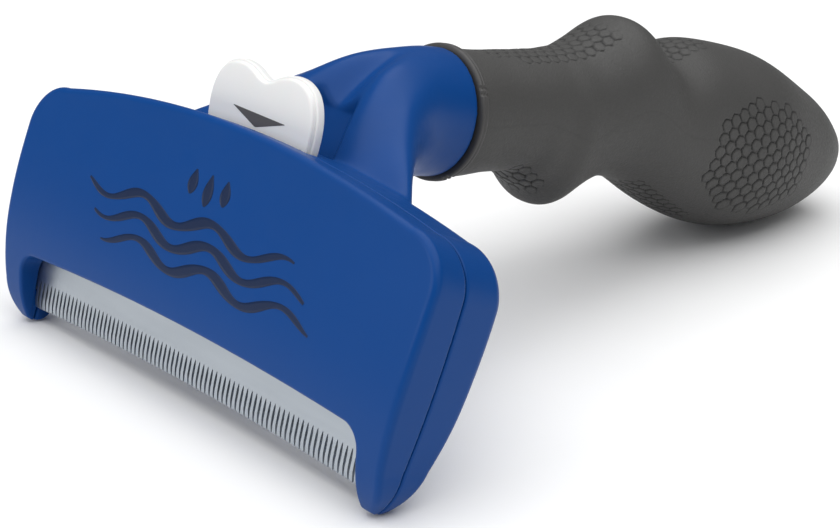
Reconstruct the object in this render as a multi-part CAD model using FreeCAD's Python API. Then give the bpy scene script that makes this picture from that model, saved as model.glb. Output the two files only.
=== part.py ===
import FreeCAD, Part
import os, math

# Deshedding comb for large dogs: a wide head that holds a toothed stainless
# blade, a heart-shaped thumb button that pushes loose hair off the teeth, and
# a contoured grip moulded over a hard core.
#
# Working frame: Y runs along the handle axis, 0 at the joint between neck and
# grip and positive towards the butt of the grip. Z is up, X to the right.
# At the end everything is tipped by REST_TILT to the attitude in which the
# tool rests on a table (on the two ear tips and the underside of the grip),
# and the origin is moved to the middle of the footprint, at table height.

V = FreeCAD.Vector
os.makedirs("parts", exist_ok=True)

# ------------------------------------------------------------------ driving
REST_TILT = 13.98         # handle axis slopes down this much to the butt
ORIGIN_Y = 32.35          # moves the origin to the middle of the footprint
ORIGIN_Z = 45.475         # lifts the lowest point to table height

HEAD_HALF_W = 59.4        # half the width of the head at its widest
TOP_Z0 = -4.7             # height of the top front edge at the middle
TOP_ARCH = 0.00205        # fall of the top edge, per mm squared
TOP_SLOPE = 0.195         # fall of the top land from front to back
WALL = 2.2                # moulded wall of the head shells

WINDOW_HALF = 50.8        # half the working width (4 in blade edge)
WINDOW_Z0 = -42.06        # lower edge of the front shell at the middle
WINDOW_ARCH = 0.00073

BLADE_FRONT = -48.7       # front face of the blade
BLADE_T = 1.2
BLADE_HALF = 53.6
BLADE_TOP = -26.5
TIP_Z0 = -53.9            # tooth tips at the middle
TIP_ARCH = 0.00053
ROOT_Z0 = -48.6           # slot roots at the middle
ROOT_ARCH = 0.00030
PITCH = 1.29              # tooth pitch
SLOT_W = 0.56
SLOTS = 78

TRAVEL = 5.5              # stroke of the ejector
PLATE_T = 0.8
BUTTON_FRONT = -43.2
BUTTON_T = 2.6
BUTTON_HALF = 15.15

RING_R = 12.66            # radius of neck and grip where they meet
COLLAR_R = 13.65
SPIGOT_R = 8.5
NECK_SCREW_Y = -7.0       # locking screw of the spigot
CORE_SKIN = 3.0           # thickness of the soft grip over the core
SPRING_X = 28.0
SPRING_Y = -43.0
SPRING_R = 2.0            # coil outer radius
WIRE_R = 0.28


# ------------------------------------------------------------------ helpers
def box(x0, x1, y0, y1, z0, z1):
    return Part.makeBox(x1 - x0, y1 - y0, z1 - z0, V(x0, y0, z0))


def cyl_y(x, z, r, y0, y1):
    return Part.makeCylinder(r, y1 - y0, V(x, y0, z), V(0, 1, 0))


def cyl_z(x, y, r, z0, z1):
    return Part.makeCylinder(r, z1 - z0, V(x, y, z0), V(0, 0, 1))


def poly_x(pts, x0, x1):
    """Polygon of (y, z) extruded from x0 to x1."""
    p = [V(x0, y, z) for y, z in pts]
    return Part.Face(Part.makePolygon(p + [p[0]])).extrude(V(x1 - x0, 0, 0))


def poly_y(pts, y0, y1, shear=0.0):
    """Polygon of (x, z) extruded from y0 to y1, falling by shear per mm."""
    p = [V(x, y0, z) for x, z in pts]
    d = y1 - y0
    return Part.Face(Part.makePolygon(p + [p[0]])).extrude(V(0, d, -shear * d))


def fuse(a, *more):
    return a.multiFuse(list(more)).removeSplitter()


def spline(pts, t0=None, t1=None):
    c = Part.BSplineCurve()
    c.interpolate([V(*p) for p in pts])
    return c.toShape()


def arc(a, b, c):
    return Part.Arc(V(*a), V(*b), V(*c)).toShape()


def line(a, b):
    return Part.LineSegment(V(*a), V(*b)).toShape()


def biggest(shape):
    s = max(shape.Solids, key=lambda q: q.Volume)
    return s


# ------------------------------------------------- head: outline and profile
def top_z(x):
    return TOP_Z0 - TOP_ARCH * x * x


def upper_outline(inset, y0, y1):
    """Everything under the arched top land and its rounded corners."""
    w = HEAD_HALF_W - inset
    xa = 50.0 - 0.4 * inset
    ref = -49.6
    dz = -TOP_SLOPE * (y0 - ref) - inset * 1.02
    za = top_z(xa) + dz
    zc = top_z(0.0) + dz
    zs = -19.0 + dz * 0.5 - inset * 0.2
    zs = min(zs, za - 6.0)
    m = (w - 0.29 * (w - xa), za - 0.29 * (za - zs))
    e = [arc((-xa, y0, za), (0, y0, zc), (xa, y0, za)),
         arc((xa, y0, za), (m[0], y0, m[1]), (w, y0, zs)),
         line((w, y0, zs), (w, y0, -75)),
         line((w, y0, -75), (-w, y0, -75)),
         line((-w, y0, -75), (-w, y0, zs)),
         arc((-w, y0, zs), (-m[0], y0, m[1]), (-xa, y0, za))]
    d = y1 - y0
    return Part.Face(Part.Wire(Part.__sortEdges__(e))).extrude(
        V(0, d, -TOP_SLOPE * d))


def lower_outline(inset, y0, y1):
    """Tapering sides, running down into the two ears."""
    w = HEAD_HALF_W - inset
    s = []
    for k in (1, -1):
        s.append(arc((k * w, y0, -17.0), (k * (w - 0.55), y0, -33.0),
                     (k * (57.0 - inset), y0, -50.2)))
        s.append(arc((k * (57.0 - inset), y0, -50.2),
                     (k * (56.0 - inset), y0, -54.9),
                     (k * (53.6 - inset * 0.4), y0, -58.2 + inset)))
    e = s + [line((w, y0, -17.0), (w, y0, 20)),
             line((w, y0, 20), (-w, y0, 20)),
             line((-w, y0, 20), (-w, y0, -17.0)),
             line((53.6 - inset * 0.4, y0, -58.2 + inset),
                  (-53.6 + inset * 0.4, y0, -58.2 + inset))]
    return Part.Face(Part.Wire(Part.__sortEdges__(e))).extrude(
        V(0, y1 - y0, 0))


FRONT = [(-49.40, 2.0), (-49.85, -4.0), (-50.70, -12.0), (-51.90, -20.0),
         (-53.00, -27.3), (-53.70, -34.0), (-53.90, -40.4), (-53.50, -46.0),
         (-52.60, -51.0), (-51.00, -55.3), (-48.80, -58.6)]
REAR = [(-34.40, 2.0), (-34.40, -8.0), (-34.70, -20.0), (-35.50, -28.0),
        (-36.70, -36.0), (-38.10, -42.5), (-40.10, -48.5), (-42.90, -54.5),
        (-45.90, -58.6)]
SEAM = [(-44.3, 2.0), (-44.0, -17.0), (-48.0, -58.6)]
SEAM_IN = [(-44.3, 2.0), (-44.0, -17.0), (-47.17, -50.0)]
FRONT_IN = [p for p in FRONT[:-3]] + [(-52.8, -50.0)]
REAR_IN = [p for p in REAR[:-2] if p[1] > -48.0] + [(-40.7, -50.0)]


def slab(front, rear, x):
    """Solid between two side profiles, both listed from the top down."""
    def edge(p):
        q = [(-x, y, z) for y, z in p]
        if len(q) > 3:
            return [spline(q)]
        return [line(q[i], q[i + 1]) for i in range(len(q) - 1)]
    e = edge(front) + edge(rear)
    for i in (0, -1):
        e.append(line((-x, front[i][0], front[i][1]),
                      (-x, rear[i][0], rear[i][1])))
    return Part.Face(Part.Wire(Part.__sortEdges__(e))).extrude(V(2 * x, 0, 0))


def inner(p, d):
    return [(y + d, z) for y, z in p]


outer_env = upper_outline(0, -58, -28).common(lower_outline(0, -58, -28))
inner_env = upper_outline(WALL, -58, -28).common(lower_outline(WALL, -58, -28))


def arch_cut(z0, k, half, bottom, y0, y1, r=4.2):
    """Opening under an arched edge, with rounded top corners."""
    n = 12
    xc = half - r
    zc = z0 - k * xc * xc
    pts = []
    for i in range(-n, n + 1):
        x = xc * i / n
        pts.append((x, z0 - k * x * x))
    right = []
    for i in range(1, 7):
        a = math.pi / 2 * (1 - i / 6.0)
        right.append((xc + r * math.cos(a), zc - r + r * math.sin(a)))
    left = [(-x, z) for x, z in reversed(right)]
    return poly_y(left + pts + right + [(half, bottom), (-half, bottom)],
                  y0, y1)


# ------------------------------------------------------------- front shell
front = slab(FRONT, SEAM, 70).common(outer_env)
cavity_f = slab(inner(FRONT_IN, WALL), inner(SEAM_IN, 0.6), 70).common(inner_env)
lip = box(-70, 70, -60, BLADE_FRONT, -75, -25.5)          # thick lower band
ear_fill = fuse(box(-70, -BLADE_HALF, -60, -40, -75, -26),
                box(BLADE_HALF, 70, -60, -40, -75, -26))
cavity_f = cavity_f.cut(lip).cut(ear_fill)
cavity_f = cavity_f.cut(box(-70, 70, -60, -40, -75, -47.0))
front = front.cut(cavity_f)
# seat for the blade behind the lower band, open to the back
front = front.cut(box(-BLADE_HALF - 0.1, BLADE_HALF + 0.1, BLADE_FRONT,
                      -40, -75, -25.5))
# the working window between the ears
front = front.cut(arch_cut(WINDOW_Z0, WINDOW_ARCH, WINDOW_HALF, -75, -60, -40))
front = biggest(front)

SHELL_SCREWS = [(-40.0, -15.5), (40.0, -15.5), (-50.5, -21.5), (50.5, -21.5)]
BLADE_SCREWS = [(-42.0, -30.5), (-16.0, -30.5), (16.0, -30.5), (42.0, -30.5)]
boss = []
for x, z in SHELL_SCREWS:
    boss.append(cyl_y(x, z, 3.2, -50.0, -44.9))
ribs = [box(-9.5, -8.0, -49.6, -45.6, -24.0, -12.0),
        box(8.0, 9.5, -49.6, -45.6, -24.0, -12.0)]
front = fuse(front, *(boss + ribs))
for x, z in SHELL_SCREWS:
    front = front.cut(cyl_y(x, z, 1.25, -49.0, -40))
for x, z in BLADE_SCREWS:
    front = front.cut(cyl_y(x, z, 1.25, -51.8, -40))
front = biggest(front)


# -------------------------------------------------------------------- neck
# Each station: y, half width, ridge height, ridge offset, scoop depth at the
# middle, height of the widest point, underside height.
NECK = [(0.0, 12.66, 12.66, 0.0, 0.0, 0.0, -12.66),
        (-4.0, 12.70, 12.60, 0.8, 0.0, 0.0, -12.8),
        (-9.0, 13.2, 12.0, 1.6, 0.3, -0.8, -13.6),
        (-14.0, 14.8, 10.6, 2.6, 1.3, -2.2, -15.6),
        (-20.0, 18.6, 7.4, 4.9, 3.0, -4.6, -19.4),
        (-26.0, 24.4, 2.4, 8.0, 4.6, -7.4, -24.4),
        (-31.0, 30.0, -3.2, 11.4, 5.4, -9.6, -28.6),
        (-35.6, 34.6, -8.6, 15.2, 5.6, -12.2, -31.6),
        (-39.6, 34.8, -10.4, 15.4, 5.0, -13.6, -31.8)]


def neck_points(st, inset=0.0):
    y, w, zr, xr, sc, zw, zb = st
    w -= inset
    zr -= inset
    zb += inset
    m = max(0.0, min(1.0, (-y - 4.0) / 30.0))
    r = []
    # right half, from the middle of the top round to the middle of the bottom
    r.append((0.0, zr - sc))
    r.append((max(xr, 0.28 * w * (1 - m)), zr - (0.0 if xr > 3 else
             (zr - zw) * (1 - math.cos(0.28)))))
    for a in (55, 35, 17):
        c, s = math.cos(math.radians(a)), math.sin(math.radians(a))
        n = 2.0 + 1.2 * m
        x = w * abs(c) ** (2 / n)
        z = zw + (zr - zw) * abs(s) ** (2 / n)
        r.append((x, z))
    r.append((w, zw))
    for a in (20, 42, 62, 78):
        c, s = math.cos(math.radians(a)), math.sin(math.radians(a))
        n = 2.0 - 0.35 * m
        r.append((w * c ** (2 / n), zw - (zw - zb) * s ** (2 / n)))
    r.append((0.0, zb))
    left = [(-x, z) for x, z in reversed(r[1:-1])]
    return [(x, y, z) for x, z in r + left]


def neck_wire(st, inset=0.0):
    c = Part.BSplineCurve()
    c.interpolate([V(*p) for p in neck_points(st, inset)], PeriodicFlag=True)
    return Part.Wire(c.toShape())


neck = Part.makeLoft([neck_wire(s) for s in NECK], True, False)

# -------------------------------------------------------------- rear shell
rear = slab(SEAM, REAR, 70).common(outer_env)
back_face = [(y - 0.4, z) for y, z in REAR]
back_face[0] = (back_face[0][0], 20.0)
neck = neck.common(slab(back_face, [(30.0, 20.0), (30.0, -58.6)], 70))
cavity_r = slab(inner(SEAM_IN, -0.6), inner(REAR_IN, -WALL), 70).common(inner_env)
cavity_r = cavity_r.cut(box(-70, 70, -60, -30, -75, -45.2))
rear = rear.cut(cavity_r)
# guide ribs and the ledges that carry the return springs
guides = []
for k in (1, -1):
    guides.append(box(min(k * 9.5, k * 8.0), max(k * 9.5, k * 8.0),
                      -42.9, -37.4, -34.0, -25.7))
    guides.append(box(k * SPRING_X - 5, k * SPRING_X + 5, -45.3, -37.6,
                      -34.6, -32.6))
for g in guides:
    rear = rear.fuse(g)
for k in (1, -1):
    rear = rear.cut(cyl_z(k * SPRING_X, SPRING_Y, 1.0, -34.7, -32))
for x, z in SHELL_SCREWS:
    rear = rear.fuse(cyl_y(x, z, 3.2, -44.2, -36.6).common(
        slab(SEAM, inner(REAR, -0.5), 70)))
rear = rear.fuse(neck)
# lower edge of the rear shell, just above the slot roots, between the ears
rear = rear.cut(arch_cut(-47.4, ROOT_ARCH, WINDOW_HALF, -75, -60, -30, 3.0))
# room for the blade ends and the ejector plate behind the blade
rear = rear.cut(box(-BLADE_HALF - 0.1, BLADE_HALF + 0.1, -60, -46.2, -75, -25.5))
# thumb scoop: the deep pocket behind the button, between the two ridges
pocket = poly_x([(-36.2, 12), (-24.5, 12), (-24.5, -1.0), (-30.5, -12.5),
                 (-36.2, -14.0)], -30, 30).common(
    Part.Face(Part.makePolygon([V(-4.0, -23.5, -20), V(4.0, -23.5, -20),
                                V(10.6, -36.2, -20), V(-10.6, -36.2, -20),
                                V(-4.0, -23.5, -20)])).extrude(V(0, 0, 40)))
rear = rear.cut(pocket)
# bore for the spigot of the handle core, locked by a screw from underneath
rear = rear.cut(cyl_y(0, 0, SPIGOT_R + 0.03, -13.0, 2))
rear = rear.cut(cyl_z(0, NECK_SCREW_Y, 2.1, -20, 0))
rear = rear.cut(cyl_z(0, NECK_SCREW_Y, 3.5, -20, -10.6))
# slot for the button in the top land
slot = box(-BUTTON_HALF - 0.5, BUTTON_HALF + 0.5, BUTTON_FRONT - 0.4,
           BUTTON_FRONT + BUTTON_T + 0.4, -16, 12)
rear = rear.cut(slot)
front = biggest(front.cut(slot).cut(box(-13.2, 13.2, -45.7, -40, -16, -8)))
rear = rear.cut(box(-13.2, 13.2, -45.7, BUTTON_FRONT, -16, 4))
front = biggest(front)
for x, z in SHELL_SCREWS:
    rear = rear.cut(cyl_y(x, z, 1.6, -60, -30))
    rear = rear.cut(cyl_y(x, z, 2.9, -39.6, -30))
rear = biggest(rear.removeSplitter())
front = biggest(front.cut(rear))

# ------------------------------------------------------------------- blade
pts = [(-BLADE_HALF, BLADE_TOP), (BLADE_HALF, BLADE_TOP),
       (BLADE_HALF, TIP_Z0 + 1.4), (BLADE_HALF - 2.2, TIP_Z0 + 1.4)]


def tip(x):
    return TIP_Z0 - TIP_ARCH * x * x


def root(x):
    return ROOT_Z0 - ROOT_ARCH * x * x


edge = []
for i in range(SLOTS):
    xc = (i - (SLOTS - 1) / 2.0) * PITCH
    edge.append((xc - SLOT_W / 2, tip(xc)))
    edge.append((xc - SLOT_W / 2, root(xc) - 0.35))
    edge.append((xc, root(xc)))
    edge.append((xc + SLOT_W / 2, root(xc) - 0.35))
    edge.append((xc + SLOT_W / 2, tip(xc)))
edge = [(-50.75, tip(50.75))] + edge + [(50.75, tip(50.75))]
pts = [(-BLADE_HALF, BLADE_TOP), (-BLADE_HALF, -51.5), (-50.75, -51.5)] + edge + \
      [(50.75, -51.5), (BLADE_HALF, -51.5), (BLADE_HALF, BLADE_TOP)]
blade = poly_y(pts, BLADE_FRONT, BLADE_FRONT + BLADE_T)
# the back of the teeth is ground to a fine edge
blade = blade.cut(poly_x([(BLADE_FRONT + 0.35, -56.5), (BLADE_FRONT + 0.35, -55.6),
                          (BLADE_FRONT + BLADE_T + 0.01, -50.4),
                          (BLADE_FRONT + 3, -50.4), (BLADE_FRONT + 3, -56.5)],
                         -60, 60))
for x, z in BLADE_SCREWS:
    blade = blade.cut(cyl_y(x, z, 1.35, -60, -30))

# ----------------------------------------------------- blade clamp and screws
CL0, CL1 = BLADE_FRONT + BLADE_T, BLADE_FRONT + BLADE_T + 1.8
clamp = box(-49.0, 49.0, CL0, CL1, -33.6, -27.4)
for x, z in BLADE_SCREWS:
    clamp = clamp.cut(cyl_y(x, z, 1.35, -60, -30))
clamp = clamp.makeFillet(1.2, [e for e in clamp.Edges
                               if abs(e.Length - 1.8) < 1e-6])


def screw(x, z, r, y_tip, y_head, head_r, head_h):
    s = cyl_y(x, z, r, y_tip, y_head)
    h = cyl_y(x, z, head_r, y_head, y_head + head_h)
    h = h.makeFillet(0.35, [e for e in h.Edges
                            if e.Closed and abs(e.CenterOfMass.y - y_head - head_h) < 1e-6])
    a = 0.45
    c1 = box(x - 1.3, x + 1.3, y_head + head_h - 0.7, y_head + head_h + 1,
             z - a, z + a)
    c2 = box(x - a, x + a, y_head + head_h - 0.7, y_head + head_h + 1,
             z - 1.3, z + 1.3)
    return s.fuse(h).cut(c1).cut(c2).removeSplitter()


blade_screws = Part.makeCompound([screw(x, z, 1.25, -51.6, CL1, 2.3, 1.2)
                                  for x, z in BLADE_SCREWS])
shell_screws = Part.makeCompound([screw(x, z, 1.25, -48.8, -39.6, 2.6, 1.6)
                                  for x, z in SHELL_SCREWS])

# ----------------------------------------------------------------- ejector
PL0 = CL0 + 0.3                    # front of the ejector plate
PL1 = PL0 + PLATE_T
n = 16
lower = []
for i in range(-n, n + 1):
    x = 50.2 * i / n
    lower.append((x, ROOT_Z0 + 0.5 - ROOT_ARCH * x * x))
plate = poly_y(lower + [(50.2, -35.2), (-50.2, -35.2)], PL0, PL1)
RIVETS = [(-40.0, -37.4), (-14.0, -37.4), (14.0, -37.4), (40.0, -37.4)]
for x, z in RIVETS:
    plate = plate.cut(cyl_y(x, z, 1.05, -60, -30))

CA0, CA1 = CL1 + 0.3, CL1 + 0.3 + 2.0     # carriage web
cross = box(-46.0, 46.0, PL1, CA1, -39.4, -35.4)
stem = box(-7.6, 7.6, CA0, CA1, -35.8, -20.0)
head_web = box(-12.6, 12.6, CA0, BUTTON_FRONT, -20.0, -9.5)
arms = []
for k in (1, -1):
    a = poly_y([(k * 7.0, -19.6), (k * 7.0, -23.0), (k * (SPRING_X - 3.2), -19.8),
                (k * (SPRING_X + 3.2), -19.8), (k * (SPRING_X + 3.2), -16.8),
                (k * 12.0, -16.8)],
               CA0, CA1)
    arms.append(a)
    arms.append(box(k * SPRING_X - 3.2, k * SPRING_X + 3.2, CA0, -40.4,
                    -19.8, -16.8))
carriage = fuse(cross, stem, head_web, *arms)
for k in (1, -1):
    carriage = carriage.cut(cyl_z(k * SPRING_X, SPRING_Y, 1.05, -30, -10))
for x, z in RIVETS:
    carriage = carriage.cut(cyl_y(x, z, 1.05, -60, -30))
# the guide ribs of the front shell run in two shallow grooves
BSC = [(-6.0, -15.5), (6.0, -15.5)]
for x, z in BSC:
    carriage = carriage.cut(cyl_y(x, z, 1.0, -60, -30))
carriage = biggest(carriage)

rivets = Part.makeCompound([
    cyl_y(x, z, 1.05, PL0, CA1 + 0.6).fuse(
        cyl_y(x, z, 1.8, CA1, CA1 + 0.6)).removeSplitter()
    for x, z in RIVETS])

# heart-shaped button: two lobes over a tapering body that enters the head
BZ0 = -19.5                      # lower end of the button inside the head


def heart(h, y0, y1):
    """Outline of the button, inset by h."""
    right = [(0.0, 3.4), (1.3, 3.75), (2.9, 4.5), (5.4, 5.35), (8.0, 5.55),
             (10.6, 5.0), (12.9, 3.5), (14.4, 1.0), (15.15, -2.4), (15.0, -6.0)]
    pr = []
    for x, z in right:
        cx, cz = 0.0, -6.0
        d = math.hypot(x - cx, z - cz)
        pr.append((x - h * (x - cx) / d, z - h * (z - cz) / d))
    e = []
    c = Part.BSplineCurve()
    c.interpolate([V(x, y0, z) for x, z in pr])
    e.append(c.toShape())
    c = Part.BSplineCurve()
    c.interpolate([V(-x, y0, z) for x, z in pr])
    e.append(c.toShape())
    xb, zb = pr[-1]
    e += [line((xb, y0, zb), (13.0 - h, y0, BZ0)),
          line((13.0 - h, y0, BZ0), (-13.0 + h, y0, BZ0)),
          line((-13.0 + h, y0, BZ0), (-xb, y0, zb))]
    return Part.Face(Part.Wire(Part.__sortEdges__(e))).extrude(V(0, y1 - y0, 0))


button = heart(0.0, BUTTON_FRONT + 0.9, BUTTON_FRONT + BUTTON_T).fuse(
    heart(0.55, BUTTON_FRONT, BUTTON_FRONT + 0.9)).removeSplitter()
for x, z in BSC:
    button = button.cut(cyl_y(x, z, 1.0, -60, -30))
button_screws = Part.makeCompound([
    screw(x, z, 1.0, CA0 + 0.2, BUTTON_FRONT + BUTTON_T, 1.8, 0.9)
    for x, z in BSC])


def spring(k):
    h0, h1 = -32.6, -19.8
    turns = 7.0
    r = SPRING_R - WIRE_R
    hel = Part.makeHelix((h1 - h0 - 2 * WIRE_R - 0.1) / turns,
                         h1 - h0 - 2 * WIRE_R - 0.1, r)
    prof = Part.Wire(Part.Circle(V(r, 0, 0), V(0, 1, 0), WIRE_R).toShape())
    s = Part.Wire(hel.Edges).makePipeShell([prof], True, True)
    s.translate(V(k * SPRING_X, SPRING_Y, h0 + WIRE_R + 0.05))
    return s


def guide_pin(k):
    p = cyl_z(k * SPRING_X, SPRING_Y, 1.0, -34.6, -15.0)
    return p.makeChamfer(0.3, [e for e in p.Edges if e.Closed
                               and e.CenterOfMass.z > -16])


# ------------------------------------------------------------------- handle
# station: y, top, bottom, half width, squareness
GRIP = [(2.6, 12.7, -12.7, 12.7), (6.1, 12.8, -12.4, 12.7),
        (12.4, 13.1, -11.4, 12.4), (18.7, 13.7, -10.8, 12.6),
        (22.3, 14.0, -10.9, 12.8), (25.6, 14.4, -12.8, 13.1),
        (29.2, 14.8, -14.8, 13.4), (32.8, 15.5, -17.5, 14.1),
        (36.7, 16.5, -16.3, 13.8), (40.4, 18.3, -14.0, 13.7),
        (44.9, 20.9, -11.8, 14.0), (49.7, 23.6, -10.8, 14.5),
        (55.3, 22.2, -11.0, 15.2), (62.4, 17.1, -12.7, 16.0),
        (70.2, 19.7, -15.8, 17.2), (79.1, 21.2, -18.7, 18.4),
        (87.4, 21.0, -20.5, 19.7), (95.8, 20.2, -20.8, 19.9),
        (104.0, 18.2, -20.0, 18.9), (112.5, 15.4, -18.2, 17.4),
        (119.7, 12.7, -15.2, 15.8), (126.0, 9.2, -11.4, 13.3),
        (129.8, 5.4, -7.1, 9.3), (131.4, 2.3, -3.9, 5.2)]


def grip_wire(st, inset=0.0, n=2.15):
    y, zt, zb, w = st
    zt, zb, w = zt - inset, zb + inset, w - inset
    zc = 0.5 * (zt + zb)
    c = Part.BSplineCurve()
    q = []
    for i in range(24):
        a = 2 * math.pi * i / 24
        ca, sa = math.cos(a), math.sin(a)
        x = w * math.copysign(abs(ca) ** (2 / n), ca)
        h = zt - zc
        z = zc + h * math.copysign(abs(sa) ** (2 / n), sa)
        q.append(V(x, y, z))
    c.interpolate(q, PeriodicFlag=True)
    return Part.Wire(c.toShape())


grip_out = Part.makeLoft([grip_wire(s) for s in GRIP], True, False)
core_st = [s for s in GRIP if 2.0 < s[0] < 120.0]
core_all = Part.makeLoft([grip_wire(s, CORE_SKIN) for s in core_st], True, False)
grip = grip_out.cut(core_all)
spigot = cyl_y(0, 0, SPIGOT_R, -12.8, 4.0)
core_all = core_all.fuse(spigot)
core_all = core_all.cut(cyl_z(0, NECK_SCREW_Y, 1.82, -20, 5.0))
# lightening cavity in the bulb
core_all = core_all.cut(box(-7, 7, 72, 106, -9, 9))
left_half = box(-40, 0, -20, 140, -40, 40)
right_half = box(0, 40, -20, 140, -40, 40)
CORE_SCREWS = [(14.5, 4.4), (14.5, -4.4), (50.0, 0.0), (66.0, 0.0), (111.0, 0.0)]
core_l = core_all.common(left_half)
core_r = core_all.common(right_half)


def screw_x(y, z, r, x_tip, x_head, head_r, head_h):
    s = Part.makeCylinder(r, x_head - x_tip, V(x_tip, y, z), V(1, 0, 0))
    h = Part.makeCylinder(head_r, head_h, V(x_head, y, z), V(1, 0, 0))
    c1 = box(x_head + head_h - 0.7, x_head + head_h + 1, y - 1.3, y + 1.3, z - .4, z + .4)
    c2 = box(x_head + head_h - 0.7, x_head + head_h + 1, y - .4, y + .4, z - 1.3, z + 1.3)
    return s.fuse(h).cut(c1).cut(c2).removeSplitter()


cs = []
for y, z in CORE_SCREWS:
    x_head = 5.6
    core_r = core_r.cut(Part.makeCylinder(1.4, 40, V(-1, y, z), V(1, 0, 0)))
    core_r = core_r.cut(Part.makeCylinder(2.7, 40, V(x_head, y, z), V(1, 0, 0)))
    core_l = core_l.cut(Part.makeCylinder(1.25, 9, V(-7.0, y, z), V(1, 0, 0)))
    cs.append(screw_x(y, z, 1.25, -6.8, x_head, 2.5, 1.6))
core_screws = Part.makeCompound(cs)
core_l, core_r = biggest(core_l), biggest(core_r)
# the soft grip fills the screw recesses down to the screw heads
grip = biggest(grip)

# collar: hard ring between the neck and the soft grip
collar = cyl_y(0, 0, COLLAR_R, 0.5, 2.6)
collar = collar.makeFillet(0.7, [e for e in collar.Edges if e.Closed
                                 and abs(e.CenterOfMass.y - 2.6) < 1e-6
                                 or (e.Closed and abs(e.CenterOfMass.y - 0.5) < 1e-6)])
collar = collar.cut(cyl_y(0, 0, SPIGOT_R + 0.03, -1, 3.0))
gasket = cyl_y(0, 0, RING_R - 0.75, 0.0, 0.5).cut(
    cyl_y(0, 0, SPIGOT_R + 0.03, -1, 3.0))

neck_screw = cyl_z(0, NECK_SCREW_Y, 1.75, -10.6, 4.6).fuse(
    cyl_z(0, NECK_SCREW_Y, 3.2, -12.2, -10.6)).cut(
    box(-1.6, 1.6, NECK_SCREW_Y - 0.45, NECK_SCREW_Y + 0.45, -13, -11.4)).cut(
    box(-0.45, 0.45, NECK_SCREW_Y - 1.6, NECK_SCREW_Y + 1.6, -13, -11.4))
neck_screw = neck_screw.removeSplitter()

# --------------------------------------------------------------- write out
nodes = {
    "front_shell": front,
    "rear_shell": rear,
    "deshedding_blade": blade,
    "blade_clamp": clamp,
    "blade_screws": blade_screws,
    "shell_screws": shell_screws,
    "ejector_plate": plate,
    "ejector_carriage": carriage,
    "plate_rivets": rivets,
    "ejector_button": button,
    "button_screws": button_screws,
    "return_spring_left": spring(-1),
    "return_spring_right": spring(1),
    "spring_pin_left": guide_pin(-1),
    "spring_pin_right": guide_pin(1),
    "grip_collar": collar,
    "neck_gasket": gasket,
    "neck_screw": neck_screw,
    "handle_core_left": core_l,
    "handle_core_right": core_r,
    "core_screws": core_screws,
    "rubber_grip": grip,
}

rot = FreeCAD.Placement(V(0, 0, 0), FreeCAD.Rotation(V(1, 0, 0), -REST_TILT))
mov = FreeCAD.Placement(V(0, -ORIGIN_Y, ORIGIN_Z), FreeCAD.Rotation())
total = None
for name, s in nodes.items():
    s = s.copy()
    s.Placement = mov.multiply(rot).multiply(s.Placement)
    bb = s.optimalBoundingBox(True, False)
    total = bb if total is None else total.united(bb)
    print("%-22s solids %d valid %s vol %.1f" % (name, len(s.Solids),
                                                s.isValid(), s.Volume))
    s.exportStep("parts/%s.step" % name)
print("box", total)
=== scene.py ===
import math
import bpy
import numpy as np
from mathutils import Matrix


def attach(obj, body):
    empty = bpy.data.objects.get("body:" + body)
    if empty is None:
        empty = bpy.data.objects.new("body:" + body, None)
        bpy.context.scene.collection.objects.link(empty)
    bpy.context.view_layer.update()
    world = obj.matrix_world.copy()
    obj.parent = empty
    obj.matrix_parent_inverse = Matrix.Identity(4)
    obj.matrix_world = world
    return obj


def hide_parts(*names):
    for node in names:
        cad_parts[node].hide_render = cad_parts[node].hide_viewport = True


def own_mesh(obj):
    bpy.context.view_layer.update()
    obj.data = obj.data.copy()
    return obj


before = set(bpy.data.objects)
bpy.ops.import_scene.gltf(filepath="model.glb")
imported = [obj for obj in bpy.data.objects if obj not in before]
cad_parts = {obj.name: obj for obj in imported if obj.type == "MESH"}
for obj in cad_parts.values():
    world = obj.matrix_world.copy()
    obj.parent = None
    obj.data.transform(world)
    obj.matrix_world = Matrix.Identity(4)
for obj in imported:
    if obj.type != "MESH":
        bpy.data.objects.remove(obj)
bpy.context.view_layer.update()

import openvdb as vdb
from mathutils import Matrix, Vector

# the tool is drawn in millimetres along its own handle axis (y), then laid down
C, S = 0.97038, 0.241583
OY, OZ = 32.35, 45.475


def lay(P):
    """Tool coordinates in mm to the row frame in metres."""
    P = np.asarray(P, float)
    out = np.empty_like(P)
    out[:, 0] = P[:, 0]
    out[:, 1] = C * P[:, 1] + S * P[:, 2] - OY
    out[:, 2] = -S * P[:, 1] + C * P[:, 2] + OZ
    return out / 1000.0


def lay_dir(N):
    out = np.empty_like(N)
    out[:, 0] = N[:, 0]
    out[:, 1] = C * N[:, 1] + S * N[:, 2]
    out[:, 2] = -S * N[:, 1] + C * N[:, 2]
    return out


def make(name, P, faces, normals=None, smooth=True, attr=None):
    """Mesh object from points in tool millimetres."""
    me = bpy.data.meshes.new(name)
    P = np.asarray(P, float)
    if isinstance(faces, np.ndarray):
        n, k = faces.shape
        me.vertices.add(len(P))
        me.vertices.foreach_set("co", lay(P).astype(np.float32).ravel())
        me.loops.add(n * k)
        me.loops.foreach_set("vertex_index", faces.astype(np.int32).ravel())
        me.polygons.add(n)
        me.polygons.foreach_set("loop_start", (np.arange(n) * k).astype(np.int32))
        me.update(calc_edges=True)
        me.validate()
    else:
        me.from_pydata([tuple(p) for p in lay(P)], [], faces)
        me.update()
    me.polygons.foreach_set("use_smooth", np.full(len(me.polygons), smooth))
    if attr is not None:
        a = me.attributes.new(attr[0], "FLOAT", "POINT")
        a.data.foreach_set("value", np.asarray(attr[1], np.float32))
    if normals is not None and len(me.vertices) == len(P):
        me.normals_split_custom_set_from_vertices(lay_dir(normals).tolist())
    o = bpy.data.objects.new(name, me)
    bpy.context.scene.collection.objects.link(o)
    return o


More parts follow.
